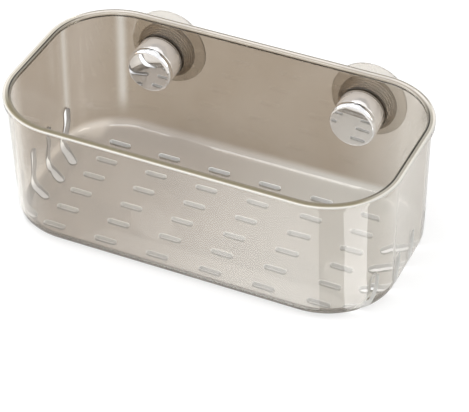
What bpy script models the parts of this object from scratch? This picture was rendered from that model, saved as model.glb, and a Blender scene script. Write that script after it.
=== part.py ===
"""Suction cup sink shelf: a clear tub held on the wall by two twist-lock suction units.

Run with: blender --background --python part.py
Metres, +Z up. The tub stands on z = 0, +Y points at the wall that the cups grip, and the
origin is the middle of the whole shelf's footprint.
"""
from math import asin, cos, pi, sin, sqrt

import bmesh
import bpy
from mathutils import Vector

# Clearances that every seat and every running fit uses
seat_gap = 0.0003
cut_overrun = 0.002
curl_overcut = 0.0007

# Tub
tub_length = 0.230
tub_depth = 0.121
tub_height = 0.0848
tub_wall = 0.003
floor_thickness = 0.003
front_corner_radius = 0.0392
back_corner_radius = 0.0370
base_fillet = 0.007
front_draft = 0.0064
end_draft = 0.0006
lip_width = 0.0018
lip_height = 0.0034
lip_round = 0.0008
lip_steps = 2
corner_steps = 10
fillet_steps = 4

# Straight drain slots in the floor, in rows from the front wall
dash_length = 0.0135
dash_width = 0.003
dash_columns = 6
dash_rows = 6
dash_end_margin = 0.032
dash_row_pitch = 0.0168
dash_front_margin = 0.0098
dash_end_steps = 4

# Curled drain slots, down each end wall, round the base fillet and straight in over the floor.
# Their margins run from the front and back walls to the top of the first and last slot, and each
# slot has its share of the floor run, from the front.
curl_width = 0.005
curl_front_margin = 0.0252
curl_back_margin = 0.0298
curl_top_height = 0.0258
curl_floor_run = 0.0126
curl_floor_shares = (0.06, 0.80, 1.0, 0.90)
curl_front_sweep = 0.0075
curl_back_sweep = 0.0193
curl_straight_share = 0.50
curl_bow = 1.6
curl_wall_steps = 4
curl_bend_steps = 3
curl_floor_steps = 2
curl_end_steps = 2
curl_tip_share = 0.03

# Where each suction unit's axis stands on the back wall, from the end wall and from the rim
unit_end_margin = 0.050
unit_rim_margin = 0.0258

# Knob: a clear barrel with a metal thread insert and a chrome cap
barrel_radius = 0.0142
barrel_length = 0.0110
barrel_shell = 0.002
hub_wall = 0.0022
hub_web = 0.0018
spigot_length = 0.0030
spigot_step = 0.0016
spigot_wall = 0.0030
rib_count = 6
rib_thickness = 0.0012
rib_bite = 0.0005
insert_radius = 0.0050
insert_length = 0.0074
insert_groove_width = 0.0016
insert_groove_depth = 0.0006
cap_overhang = 0.0002
cap_face_radius = 0.0124
cap_skin = 0.0012
cap_shoulder = 0.0022
cap_shoulder_steps = 3

# Knob washer, inside the tub, and wall gasket, outside it
washer_thickness = 0.0008
washer_lip = 0.0002
washer_bore_clearance = 0.0015
gasket_thickness = 0.0008
gasket_width = 0.0060

# Pressure bell behind the wall: a keyed neck, a web, stepped rings and a rim on the cup
neck_radius = 0.0083
neck_flat = 0.0073
bell_front_radius = 0.0150
bell_step = 0.0008
bell_steps = 3
bell_ring_length = 0.0012
bell_rim_width = 0.0009
bell_rim_length = 0.0020
bell_web = 0.0015
bell_shell = 0.0018

# Draw stud, one lead of thread for each turn of the knob
stud_radius = 0.0030
stud_hex_flat = 0.0039
stud_flange_radius = 0.0075
stud_flange_thickness = 0.0013
stud_chamfer = 0.0004
thread_lead = 0.0032
knob_turn = 1.5 * pi

# Stop screw and washer on the stud's end
screw_radius = 0.0015
screw_length = 0.0045
screw_head_radius = 0.0032
screw_head_height = 0.0018
screw_drive_radius = 0.0013
screw_drive_depth = 0.0009
stop_washer_radius = 0.0046
stop_washer_thickness = 0.0008

# Suction cup
cup_radius = 0.0243
cup_land = 0.0017
cup_edge = 0.0010
cup_hollow = 0.0014
cup_skin = 0.0013
cup_boss_wall = 0.0018
cup_boss_lip = 0.0009
cup_bevel = 0.0003
cup_dish_shares = ((0.25, 0.0), (0.60, 0.12), (0.83, 0.50))

# Facets
large_facets = 30
small_facets = 24

# Places that follow from the sizes above. In a unit, y counts from the inside of the back wall.
inner_half_length = tub_length / 2
inner_half_depth = tub_depth / 2
dash_column_pitch = (tub_length - 2 * dash_end_margin) / (dash_columns - 1)
unit_x = inner_half_length - unit_end_margin
unit_height = tub_height - unit_rim_margin
draw_travel = thread_lead * knob_turn / (2 * pi)

washer_back = -seat_gap
washer_front = washer_back - washer_thickness
barrel_back = washer_front - seat_gap
barrel_front = barrel_back - barrel_length
insert_back = barrel_back - seat_gap
insert_front = insert_back - insert_length
hub_front = insert_front + seat_gap
spigot_front = barrel_front - spigot_length
cap_inside = spigot_front - seat_gap
cap_front = cap_inside - cap_skin
cap_radius = barrel_radius + cap_overhang
stop_washer_back = insert_front - seat_gap
stop_washer_front = stop_washer_back - stop_washer_thickness
screw_head_back = stop_washer_front - seat_gap
screw_head_front = screw_head_back - screw_head_height
stud_front = stop_washer_back + seat_gap

gasket_front = tub_wall + seat_gap
gasket_back = gasket_front + gasket_thickness
bell_front = gasket_back + seat_gap
neck_front = seat_gap
bell_web_back = bell_front + bell_web
boss_front = bell_web_back + draw_travel + seat_gap
flange_front = boss_front + cup_boss_lip + seat_gap
flange_back = flange_front + stud_flange_thickness
pocket_back = flange_back + seat_gap
cup_middle = pocket_back + cup_skin
cup_back = cup_middle + cup_hollow
bell_back = bell_front + bell_ring_length * (bell_steps + 1) + bell_rim_length
cup_shelf = bell_back + seat_gap
hex_front = insert_back + draw_travel + seat_gap

front_reach = inner_half_depth + tub_wall + lip_width - front_draft * lip_round / tub_height
back_reach = inner_half_depth + cup_back
footprint_shift = (front_reach - back_reach) / 2


def clear_scene():
    """Start from an empty scene."""
    for thing in list(bpy.data.objects):
        bpy.data.objects.remove(thing)


def make_material(name, colour, roughness, metallic=0.0, transmission=0.0, alpha=1.0):
    """A Principled material with plain values."""
    material = bpy.data.materials.new(name)
    material.use_nodes = True
    shader = material.node_tree.nodes["Principled BSDF"]
    shader.inputs["Base Color"].default_value = (*colour, 1.0)
    shader.inputs["Roughness"].default_value = roughness
    shader.inputs["Metallic"].default_value = metallic
    shader.inputs["Transmission Weight"].default_value = transmission
    shader.inputs["Alpha"].default_value = alpha
    return material


def finish_mesh(name, mesh_data, parent=None, material=None):
    """Turn a bmesh into a smooth-shaded object with its faces pointing out."""
    sharp_angle = pi / 6
    bmesh.ops.recalc_face_normals(mesh_data, faces=mesh_data.faces)
    mesh = bpy.data.meshes.new(name)
    mesh_data.to_mesh(mesh)
    mesh_data.free()
    mesh.shade_smooth()
    mesh.set_sharp_from_angle(angle=sharp_angle)
    if material:
        mesh.materials.append(material)
    thing = bpy.data.objects.new(name, mesh)
    bpy.context.collection.objects.link(thing)
    thing.parent = parent
    return thing


def make_cutter(name, mesh_data, parent=None):
    """An object that only shapes its neighbour."""
    cutter = finish_mesh(name, mesh_data, parent)
    cutter.hide_render = True
    cutter.display_type = "WIRE"
    return cutter


def add_boolean(thing, other, operation):
    """Cut or join another object with the exact solver."""
    modifier = thing.modifiers.new(other.name, "BOOLEAN")
    modifier.operation = operation
    modifier.solver = "EXACT"
    modifier.object = other


def skin_rings(mesh_data, rings, is_loop=False):
    """Join rings of equal count with quads. An open stack gets a cap at each end."""
    rows = [[mesh_data.verts.new(point) for point in ring] for ring in rings]
    count = len(rows[0])
    pairs = list(zip(rows, rows[1:]))
    if is_loop:
        pairs.append((rows[-1], rows[0]))
    for lower, upper in pairs:
        for index in range(count):
            after = (index + 1) % count
            mesh_data.faces.new((lower[index], lower[after], upper[after], upper[index]))
    if not is_loop:
        mesh_data.faces.new(reversed(rows[0]))
        mesh_data.faces.new(rows[-1])


# Outlines of a turned or prismatic piece, as a radius for each angle round the unit's axis


def round_outline(radius):
    """A circle."""
    return lambda angle: radius


def hex_outline(flat):
    """A hexagon, by the distance from its middle to a flat."""
    side_angle = pi / 3
    return lambda angle: flat / cos((angle % side_angle) - side_angle / 2)


def keyed_outline(radius, flat):
    """A circle with one flat above and one below."""
    return lambda angle: min(radius, flat / max(abs(sin(angle)), flat / radius))


def ring_at(outline, y, facets):
    """The outline's points in the plane at y, round the unit's axis."""
    angles = [2 * pi * index / facets for index in range(facets)]
    return [(outline(angle) * cos(angle), y, outline(angle) * sin(angle)) for angle in angles]


def turned_piece(name, sections, facets, parent, material, is_loop=False):
    """A piece built from (outline, y) sections. A number stands for a round outline."""
    mesh_data = bmesh.new()
    rings = []
    for outline, y in sections:
        shape = outline if callable(outline) else round_outline(outline)
        rings.append(ring_at(shape, y, facets))
    skin_rings(mesh_data, rings, is_loop)
    return finish_mesh(name, mesh_data, parent, material)


# Tub


def draft_at(draft, z):
    """How far a drafted wall has moved in at height z."""
    return draft * (tub_height - z) / tub_height


def tub_outline(offset, z):
    """The tub's rounded outline, offset outwards from its inner wall, at height z."""
    half_length = inner_half_length + offset - draft_at(end_draft, z)
    front = -inner_half_depth - offset + draft_at(front_draft, z)
    back = inner_half_depth + offset
    front_radius = front_corner_radius + offset
    back_radius = back_corner_radius + offset
    corners = (
        (half_length - back_radius, back - back_radius, back_radius, 0),
        (back_radius - half_length, back - back_radius, back_radius, pi / 2),
        (front_radius - half_length, front + front_radius, front_radius, pi),
        (half_length - front_radius, front + front_radius, front_radius, 3 * pi / 2),
    )
    points = []
    for x, y, radius, start in corners:
        for step in range(corner_steps + 1):
            angle = start + pi / 2 * step / corner_steps
            points.append((x + radius * cos(angle), y + radius * sin(angle), z))
    return points


def quarter_steps(steps):
    """Angles from 0 to a quarter turn."""
    return [pi / 2 * step / steps for step in range(steps + 1)]


def tub_sections():
    """Offsets and heights from the middle of the base, up over the rim and down to the floor."""
    inner_fillet = base_fillet - tub_wall
    lip_reach = tub_wall + lip_width
    lip_under = tub_height - lip_height
    sections = []
    for angle in quarter_steps(fillet_steps):
        inset = base_fillet * (1 - sin(angle))
        sections.append((tub_wall - inset, base_fillet * (1 - cos(angle))))
    sections.append((tub_wall, lip_under - lip_round / 2))
    sections.append((lip_reach, lip_under + lip_round / 2))
    for angle in quarter_steps(lip_steps):
        height = tub_height - lip_round * (1 - sin(angle))
        sections.append((lip_reach - lip_round * (1 - cos(angle)), height))
    for angle in reversed(quarter_steps(lip_steps)):
        height = tub_height - lip_round * (1 - sin(angle))
        sections.append((lip_round * (1 - cos(angle)), height))
    for angle in reversed(quarter_steps(fillet_steps)):
        inset = inner_fillet * (1 - sin(angle))
        sections.append((-inset, floor_thickness + inner_fillet * (1 - cos(angle))))
    return sections


def dash_outline(x, y, z):
    """A slot with round ends, along X, as points at height z."""
    half_straight = (dash_length - dash_width) / 2
    points = []
    for side in (1, -1):
        for step in range(dash_end_steps + 1):
            angle = pi * step / dash_end_steps - side * pi / 2
            along = side * half_straight + dash_width / 2 * cos(angle)
            points.append((x + along, y + dash_width / 2 * sin(angle), z))
    return points


def make_dash_cutter(parent):
    """The grid of straight drain slots."""
    mesh_data = bmesh.new()
    first_y = -inner_half_depth + draft_at(front_draft, floor_thickness) + dash_front_margin
    first_x = -dash_column_pitch * (dash_columns - 1) / 2
    for row in range(dash_rows):
        for column in range(dash_columns):
            x = first_x + dash_column_pitch * column
            y = first_y + dash_row_pitch * row
            bottom = dash_outline(x, y, -cut_overrun)
            top = dash_outline(x, y, floor_thickness + cut_overrun)
            skin_rings(mesh_data, (bottom, top))
    return make_cutter("dash_cutter", mesh_data, parent)


def end_place(y, z, inset):
    """In the right-hand end at y and z, inset from its outer face: the point in plan, and the way out."""
    half_length = inner_half_length + tub_wall - draft_at(end_draft, z)
    back_radius = back_corner_radius + tub_wall
    front_radius = front_corner_radius + tub_wall
    straight_back = inner_half_depth + tub_wall - back_radius
    straight_front = draft_at(front_draft, z) + front_radius - inner_half_depth - tub_wall
    radius = back_radius if y > straight_back else front_radius
    angle = asin((y - min(max(y, straight_front), straight_back)) / (radius - inset))
    out = Vector((cos(angle), sin(angle), 0))
    return Vector((half_length - radius + (radius - inset) * cos(angle), y, 0)), out


def curl_runs(wall_run, bend_run, floor_run):
    """Distances down a curled slot: two round ends, and steps that keep clear of the bend's limits."""
    total = wall_run + bend_run + floor_run
    half_width = curl_width / 2
    places = [half_width * (1 - cos(angle)) for angle in quarter_steps(curl_end_steps)]
    zones = (
        (half_width, wall_run, curl_wall_steps),
        (wall_run, wall_run + bend_run, curl_bend_steps),
        (wall_run + bend_run, total - half_width, curl_floor_steps),
    )
    runs = list(places)
    for start, zone_end, steps in zones:
        end = min(zone_end, total - half_width)
        if end > start:
            runs += [start + (end - start) * (2 * step + 1) / (2 * steps) for step in range(steps)]
    return runs + [total - place for place in reversed(places)]


def curl_stations(start_y, sweep, floor_run):
    """Centre, way out of the wall and width of a curled slot at each step down its length."""
    wall_run = curl_top_height - base_fillet
    middle_radius = base_fillet - tub_wall / 2
    bend_run = middle_radius * pi / 2
    total = wall_run + bend_run + floor_run
    straight_run = wall_run * curl_straight_share
    half_width = curl_width / 2
    stations = []
    for run in curl_runs(wall_run, bend_run, floor_run):
        end_distance = min(run, total - run, half_width)
        width = curl_width * sqrt(max(1 - (1 - end_distance / half_width) ** 2, 0))
        y = start_y - sweep * (max(run - straight_run, 0) / (total - straight_run)) ** curl_bow
        if run < wall_run:
            height = curl_top_height - run
            place, facing = end_place(y, height, tub_wall / 2)
        elif run < wall_run + bend_run:
            angle = (run - wall_run) / middle_radius
            height = base_fillet - middle_radius * sin(angle)
            place, out = end_place(y, height, base_fillet - middle_radius * cos(angle))
            facing = out * cos(angle) - Vector((0, 0, sin(angle)))
        else:
            height = tub_wall / 2
            bend_end, _ = end_place(y, height, base_fillet)
            place = bend_end - Vector((run - wall_run - bend_run, 0, 0))
            facing = Vector((0, 0, -1))
        stations.append((place + Vector((0, 0, height)), facing, max(width, curl_width * curl_tip_share)))
    return stations


def make_curl_cutter(parent):
    """The curled drain slots of both end walls, with their twisted sides in triangles."""
    mesh_data = bmesh.new()
    inner_reach = tub_wall / 2 + curl_overcut
    outer_reach = tub_wall / 2 + cut_overrun
    first_y = curl_front_margin - inner_half_depth
    last_y = inner_half_depth - curl_back_margin
    for index, floor_share in enumerate(curl_floor_shares):
        back_share = index / (len(curl_floor_shares) - 1)
        start_y = first_y + (last_y - first_y) * back_share
        sweep = curl_front_sweep + (curl_back_sweep - curl_front_sweep) * back_share
        stations = curl_stations(start_y, sweep, curl_floor_run * floor_share)
        for side in (1, -1):
            rings = []
            for number, (centre, facing, width) in enumerate(stations):
                before = stations[max(number - 1, 0)][0]
                after = stations[min(number + 1, len(stations) - 1)][0]
                across = (after - before).cross(facing).normalized() * (width / 2)
                corners = (
                    centre + facing * outer_reach + across,
                    centre + facing * outer_reach - across,
                    centre - facing * inner_reach - across,
                    centre - facing * inner_reach + across,
                )
                rings.append([(side * point.x, point.y, point.z) for point in corners])
            skin_rings(mesh_data, rings)
    bmesh.ops.triangulate(mesh_data, faces=mesh_data.faces)
    return make_cutter("curl_cutter", mesh_data, parent)


def make_neck_cutter(parent):
    """The two keyed holes in the back wall."""
    mesh_data = bmesh.new()
    shape = keyed_outline(neck_radius + seat_gap, neck_flat + seat_gap)
    for side in (-1, 1):
        rings = []
        for y in (inner_half_depth - cut_overrun, inner_half_depth + tub_wall + cut_overrun):
            ring = ring_at(shape, y, large_facets)
            rings.append([(x + side * unit_x, along, z + unit_height) for x, along, z in ring])
        skin_rings(mesh_data, rings)
    return make_cutter("neck_cutter", mesh_data, parent)


def make_tub(parent, material):
    """The clear tub with its rim, drain slots and two keyed holes."""
    mesh_data = bmesh.new()
    skin_rings(mesh_data, [tub_outline(offset, z) for offset, z in tub_sections()])
    tub = finish_mesh("tub", mesh_data, parent, material)
    for cutter in (make_curl_cutter(parent), make_dash_cutter(parent), make_neck_cutter(parent)):
        add_boolean(tub, cutter, "DIFFERENCE")
    return tub


# Suction unit


def make_cup(side, unit, material):
    """Soft cup: a shallow hollow with a flat land at its edge, and a boss that holds the stud."""
    pocket_radius = stud_flange_radius + seat_gap
    mouth_radius = stud_hex_flat / cos(pi / 6) + 2 * seat_gap
    boss_radius = pocket_radius + cup_boss_wall
    land_inner = cup_radius - cup_land - cup_bevel
    rim_outer = bell_outer_radius() + cup_bevel
    sections = [(land_inner * out, cup_middle + cup_hollow * back) for out, back in cup_dish_shares]
    sections += [
        (land_inner, cup_back),
        (cup_radius - cup_bevel, cup_back),
        (cup_radius, cup_back - cup_bevel),
        (cup_radius - cup_bevel, cup_back - cup_edge),
        (rim_outer, cup_shelf),
        (boss_radius + cup_bevel, cup_shelf),
        (boss_radius, cup_shelf - cup_bevel),
        (boss_radius, boss_front + cup_bevel),
        (boss_radius - cup_bevel, boss_front),
        (mouth_radius, boss_front),
        (mouth_radius, boss_front + cup_boss_lip),
        (pocket_radius, boss_front + cup_boss_lip),
        (pocket_radius, pocket_back),
    ]
    return turned_piece(side + "_suction_cup", sections, large_facets, unit, material)


def bell_outer_radius():
    """The outside radius of the pressure bell's rim."""
    return bell_front_radius + bell_step * bell_steps + bell_rim_width


def make_bell(side, unit, material):
    """Pressure bell: keyed neck through the wall, stepped rings, and a rim that bears on the cup."""
    neck = keyed_outline(neck_radius, neck_flat)
    bore = hex_outline(stud_hex_flat + seat_gap)
    sections = [(neck, neck_front), (neck, bell_front)]
    radius = bell_front_radius
    y = bell_front
    sections.append((radius, y))
    for _ in range(bell_steps):
        y += bell_ring_length
        sections.append((radius, y))
        radius += bell_step
        sections.append((radius, y))
    y += bell_ring_length
    sections.append((radius, y))
    sections.append((bell_outer_radius(), y))
    sections.append((bell_outer_radius(), bell_back))
    sections.append((radius - bell_shell / 2, bell_back))
    sections.append((bell_front_radius - bell_shell, bell_web_back))
    sections.append((bore, bell_web_back))
    sections.append((bore, neck_front))
    return turned_piece(side + "_pressure_bell", sections, large_facets, unit, material, True)


def make_gasket(side, unit, material):
    """Soft ring between the bell and the outside of the back wall."""
    bore = neck_radius + seat_gap
    sections = (
        (bore, gasket_front),
        (bore + gasket_width, gasket_front),
        (bore + gasket_width, gasket_back),
        (bore, gasket_back),
    )
    return turned_piece(side + "_wall_gasket", sections, large_facets, unit, material, True)


def make_knob_washer(side, unit, material):
    """Thin ring that the knob turns on, inside the tub."""
    bore = stud_hex_flat / cos(pi / 6) + washer_bore_clearance
    outside = barrel_radius + washer_lip
    sections = (
        (bore, washer_front),
        (outside, washer_front),
        (outside, washer_back),
        (bore, washer_back),
    )
    return turned_piece(side + "_knob_washer", sections, large_facets, unit, material, True)


def make_barrel(side, unit, material):
    """Clear knob barrel: an outer shell and a hub joined by ribs, with a spigot for the cap."""
    bore = insert_radius + seat_gap
    hub = bore + hub_wall
    shell_inside = barrel_radius - barrel_shell
    spigot = barrel_radius - spigot_step
    chamber = spigot - spigot_wall
    pocket_front = hub_front + hub_web
    sections = (
        (bore, barrel_back),
        (hub, barrel_back),
        (hub, pocket_front),
        (shell_inside, pocket_front),
        (shell_inside, barrel_back),
        (barrel_radius, barrel_back),
        (barrel_radius, barrel_front),
        (spigot, barrel_front),
        (spigot, spigot_front),
        (chamber, spigot_front),
        (chamber, hub_front),
        (bore, hub_front),
    )
    barrel = turned_piece(side + "_knob_barrel", sections, large_facets, unit, material, True)
    ribs = bmesh.new()
    for number in range(rib_count):
        angle = 2 * pi * number / rib_count
        out = Vector((cos(angle), 0, sin(angle)))
        across = Vector((-sin(angle), 0, cos(angle))) * (rib_thickness / 2)
        rings = []
        for y in (pocket_front - rib_bite, barrel_back - rib_bite):
            along = Vector((0, y, 0))
            rings.append([
                tuple(out * (hub - rib_bite) - across + along),
                tuple(out * (shell_inside + rib_bite) - across + along),
                tuple(out * (shell_inside + rib_bite) + across + along),
                tuple(out * (hub - rib_bite) + across + along),
            ])
        skin_rings(ribs, rings)
    add_boolean(barrel, make_cutter(side + "_barrel_ribs", ribs, unit), "UNION")
    return barrel


def make_insert(side, unit, material):
    """Metal nut pressed into the barrel's hub, with a groove that the plastic grips."""
    bore = stud_radius + seat_gap
    groove = insert_radius - insert_groove_depth
    middle = (insert_front + insert_back) / 2
    sections = (
        (bore, insert_front),
        (insert_radius, insert_front),
        (insert_radius, middle - insert_groove_width / 2),
        (groove, middle - insert_groove_width / 2),
        (groove, middle + insert_groove_width / 2),
        (insert_radius, middle + insert_groove_width / 2),
        (insert_radius, insert_back),
        (bore, insert_back),
    )
    return turned_piece(side + "_thread_insert", sections, small_facets, unit, material, True)


def make_cap(side, unit, material):
    """Chrome cap: a flat face, a rolled shoulder and a skirt over the barrel's spigot."""
    inside = barrel_radius - spigot_step + seat_gap
    sections = [(cap_face_radius, cap_front)]
    for angle in quarter_steps(cap_shoulder_steps)[1:]:
        radius = cap_face_radius + (cap_radius - cap_face_radius) * sin(angle)
        sections.append((radius, cap_front + cap_shoulder * (1 - cos(angle))))
    sections.append((cap_radius, barrel_front - seat_gap))
    sections.append((inside, barrel_front - seat_gap))
    sections.append((inside, cap_inside))
    return turned_piece(side + "_chrome_cap", sections, large_facets, unit, material)


def make_stud(side, unit, material):
    """Draw stud: a flange held in the cup, a hexagon that slides in the bell, and the thread."""
    hexagon = hex_outline(stud_hex_flat)
    hole = screw_radius + seat_gap
    sections = (
        (stud_flange_radius, flange_back),
        (stud_flange_radius, flange_front),
        (hexagon, flange_front),
        (hexagon, hex_front),
        (stud_radius, hex_front),
        (stud_radius, stud_front + stud_chamfer),
        (stud_radius - stud_chamfer, stud_front),
        (hole, stud_front),
        (hole, stud_front + screw_length + seat_gap),
    )
    return turned_piece(side + "_draw_stud", sections, small_facets, unit, material)


def make_stop_washer(side, unit, material):
    """Washer that meets the insert when the knob is fully slackened."""
    bore = screw_radius + seat_gap
    sections = (
        (bore, stop_washer_front),
        (stop_washer_radius, stop_washer_front),
        (stop_washer_radius, stop_washer_back),
        (bore, stop_washer_back),
    )
    return turned_piece(side + "_stop_washer", sections, small_facets, unit, material, True)


def make_stop_screw(side, unit, material):
    """Screw into the stud's end, with a hexagon socket."""
    head_top = screw_head_radius - stud_chamfer
    sections = (
        (screw_radius, stud_front + screw_length),
        (screw_radius, screw_head_back),
        (screw_head_radius, screw_head_back),
        (screw_head_radius, screw_head_front + stud_chamfer),
        (head_top, screw_head_front),
        (hex_outline(screw_drive_radius), screw_head_front),
        (hex_outline(screw_drive_radius), screw_head_front + screw_drive_depth),
    )
    return turned_piece(side + "_stop_screw", sections, small_facets, unit, material)


def make_unit(side, x_sign, root, materials):
    """One suction unit. Its empty stands on the knob's axis, at the inside of the back wall."""
    unit = bpy.data.objects.new(side + "_unit_axis", None)
    bpy.context.collection.objects.link(unit)
    unit.parent = root
    unit.location = (x_sign * unit_x, inner_half_depth, unit_height)
    make_cup(side, unit, materials["soft cup"])
    make_bell(side, unit, materials["clear housing"])
    make_gasket(side, unit, materials["seal"])
    make_knob_washer(side, unit, materials["seal"])
    make_barrel(side, unit, materials["clear knob"])
    make_insert(side, unit, materials["brass"])
    make_cap(side, unit, materials["chrome"])
    make_stud(side, unit, materials["steel"])
    make_stop_washer(side, unit, materials["steel"])
    make_stop_screw(side, unit, materials["steel"])


def main():
    clear_scene()
    materials = {
        "tub": make_material("tub", (0.78, 0.75, 0.71), 0.06, transmission=0.9, alpha=0.35),
        "soft cup": make_material("soft cup", (0.86, 0.85, 0.80), 0.25, transmission=0.6, alpha=0.6),
        "clear housing": make_material("clear housing", (0.62, 0.56, 0.48), 0.10, transmission=0.7, alpha=0.6),
        "clear knob": make_material("clear knob", (0.86, 0.84, 0.81), 0.05, transmission=0.8, alpha=0.5),
        "seal": make_material("seal", (0.20, 0.18, 0.16), 0.55),
        "brass": make_material("brass", (0.78, 0.62, 0.35), 0.30, metallic=1.0),
        "chrome": make_material("chrome", (0.90, 0.90, 0.91), 0.04, metallic=1.0),
        "steel": make_material("steel", (0.70, 0.71, 0.72), 0.28, metallic=1.0),
    }
    root = bpy.data.objects.new("shelf_origin", None)
    bpy.context.collection.objects.link(root)
    root.location = (0, footprint_shift, 0)
    make_tub(root, materials["tub"])
    for side, x_sign in (("left", -1), ("right", 1)):
        make_unit(side, x_sign, root, materials)


main()
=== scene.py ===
from math import asin, cos, copysign, pi, radians, sin, sqrt

import bmesh
import bpy
from mathutils import Matrix, Vector


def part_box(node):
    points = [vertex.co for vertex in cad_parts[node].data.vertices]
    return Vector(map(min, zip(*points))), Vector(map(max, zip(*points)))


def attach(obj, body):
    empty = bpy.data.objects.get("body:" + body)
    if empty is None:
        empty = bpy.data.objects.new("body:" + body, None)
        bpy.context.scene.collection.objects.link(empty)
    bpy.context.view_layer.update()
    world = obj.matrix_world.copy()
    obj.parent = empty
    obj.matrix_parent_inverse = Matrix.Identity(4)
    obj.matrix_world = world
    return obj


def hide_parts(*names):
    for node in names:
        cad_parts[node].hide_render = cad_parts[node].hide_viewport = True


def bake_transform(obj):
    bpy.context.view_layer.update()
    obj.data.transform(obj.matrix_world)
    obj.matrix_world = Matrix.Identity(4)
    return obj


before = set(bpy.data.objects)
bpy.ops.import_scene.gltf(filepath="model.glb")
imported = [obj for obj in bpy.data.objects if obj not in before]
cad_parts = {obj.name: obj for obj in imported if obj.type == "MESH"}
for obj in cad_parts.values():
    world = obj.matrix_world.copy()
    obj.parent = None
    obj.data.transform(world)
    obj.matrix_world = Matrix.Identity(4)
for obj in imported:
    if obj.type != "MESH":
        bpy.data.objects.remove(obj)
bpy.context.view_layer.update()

print("frame loaded:", len(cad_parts), "nodes")

sceneData = bpy.context.scene

# where things are, read from the frame
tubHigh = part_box("tub")[1]
units = {}
for side in ("left", "right"):
    low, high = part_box(side + "_knob_barrel")
    units[side] = Vector(((low.x + high.x) / 2, 0.0, (low.z + high.z) / 2))


def newMaterial(name):
    material = bpy.data.materials.new(name)
    material.use_nodes = True
    tree = material.node_tree
    return material, tree, tree.nodes["Principled BSDF"]


def setValues(shader, **values):
    for socket, value in values.items():
        shader.inputs[socket.replace("_", " ")].default_value = value


def objectAxes(tree):
    # x, y and z on the piece, whose object stays at the origin
    coords = tree.nodes.new("ShaderNodeTexCoord")
    axes = tree.nodes.new("ShaderNodeSeparateXYZ")
    tree.links.new(coords.outputs["Object"], axes.inputs["Vector"])
    return axes.outputs["X"], axes.outputs["Y"], axes.outputs["Z"]


def noiseOn(tree, scale, detail, stretch=(1, 1, 1)):
    coords = tree.nodes.new("ShaderNodeTexCoord")
    mapping = tree.nodes.new("ShaderNodeMapping")
    mapping.inputs["Scale"].default_value = stretch
    noise = tree.nodes.new("ShaderNodeTexNoise")
    for socket, value in (("Scale", scale), ("Detail", detail), ("Roughness", 0.55)):
        noise.inputs[socket].default_value = value
    tree.links.new(coords.outputs["Object"], mapping.inputs["Vector"])
    tree.links.new(mapping.outputs["Vector"], noise.inputs["Vector"])
    return noise.outputs["Fac"]


def spread(tree, source, fromLow, fromHigh, low=0.0, high=1.0, shape="SMOOTHSTEP"):
    # soft change between two places along an axis
    node = tree.nodes.new("ShaderNodeMapRange")
    node.interpolation_type = shape
    for name, value in (("From Min", fromLow), ("From Max", fromHigh), ("To Min", low), ("To Max", high)):
        node.inputs[name].default_value = value
    tree.links.new(source, node.inputs["Value"])
    return node.outputs["Result"]


def rangeOf(tree, noise, low, high):
    # stretches the middle of a noise, where most of it lies
    return spread(tree, noise, 0.35, 0.65, low, high, "LINEAR")


def mathOn(tree, operation, first, second=None, third=None):
    node = tree.nodes.new("ShaderNodeMath")
    node.operation = operation
    for place, value in enumerate((first, second, third)):
        if isinstance(value, (int, float)):
            node.inputs[place].default_value = value
        elif value is not None:
            tree.links.new(value, node.inputs[place])
    return node.outputs["Value"]


def times(tree, product, *values):
    for value in values:
        product = mathOn(tree, "MULTIPLY", product, value)
    return product


def distance(tree, across, up):
    return mathOn(tree, "SQRT", mathOn(tree, "MULTIPLY_ADD", across, across, times(tree, up, up)))


def mixColours(tree, factor, first, second, kind="RGBA"):
    node = tree.nodes.new("ShaderNodeMix")
    node.data_type = kind
    for name, value in (("A", first), ("B", second)):
        if isinstance(value, tuple):
            node.inputs[name].default_value = (*value, 1)
        elif isinstance(value, float):
            node.inputs[name].default_value = value
        else:
            tree.links.new(value, node.inputs[name])
    tree.links.new(factor, node.inputs["Factor"])
    return node.outputs["Result"]


def mixValues(tree, factor, first, second):
    return mixColours(tree, factor, first, second, "FLOAT")


def bumpOn(tree, shader, height, depth, strength):
    bump = tree.nodes.new("ShaderNodeBump")
    bump.inputs["Distance"].default_value = depth
    bump.inputs["Strength"].default_value = strength
    tree.links.new(height, bump.inputs["Height"])
    tree.links.new(bump.outputs["Normal"], shader.inputs["Normal"])


def putInScene(name, bm, material):
    # the mesh is already in place, so its object stays at the origin
    mesh = bpy.data.meshes.new(name)
    bm.to_mesh(mesh)
    bm.free()
    mesh.materials.append(material)
    thing = bpy.data.objects.new(name, mesh)
    sceneData.collection.objects.link(thing)
    return thing


def finishPiece(name, bm, body, material, nodes):
    # one finished piece, riding its body if it is given one
    piece = putInScene(name, bm, material)
    piece.data.shade_smooth()
    piece.data.set_sharp_from_angle(angle=radians(35))
    if body:
        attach(piece, body)
    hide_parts(*nodes)
    return piece


def everything(bm):
    return list(bm.verts) + list(bm.edges) + list(bm.faces)


def cutAt(bm, place, way, keepsBoth=True):
    # cuts the mesh with a plane, and closes it there if one side goes
    bmesh.ops.bisect_plane(bm, geom=everything(bm), dist=1e-7, plane_co=place, plane_no=way,
                           clear_outer=not keepsBoth)
    if not keepsBoth:
        bmesh.ops.edgeloop_fill(bm, edges=[e for e in bm.edges if e.is_boundary])


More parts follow.
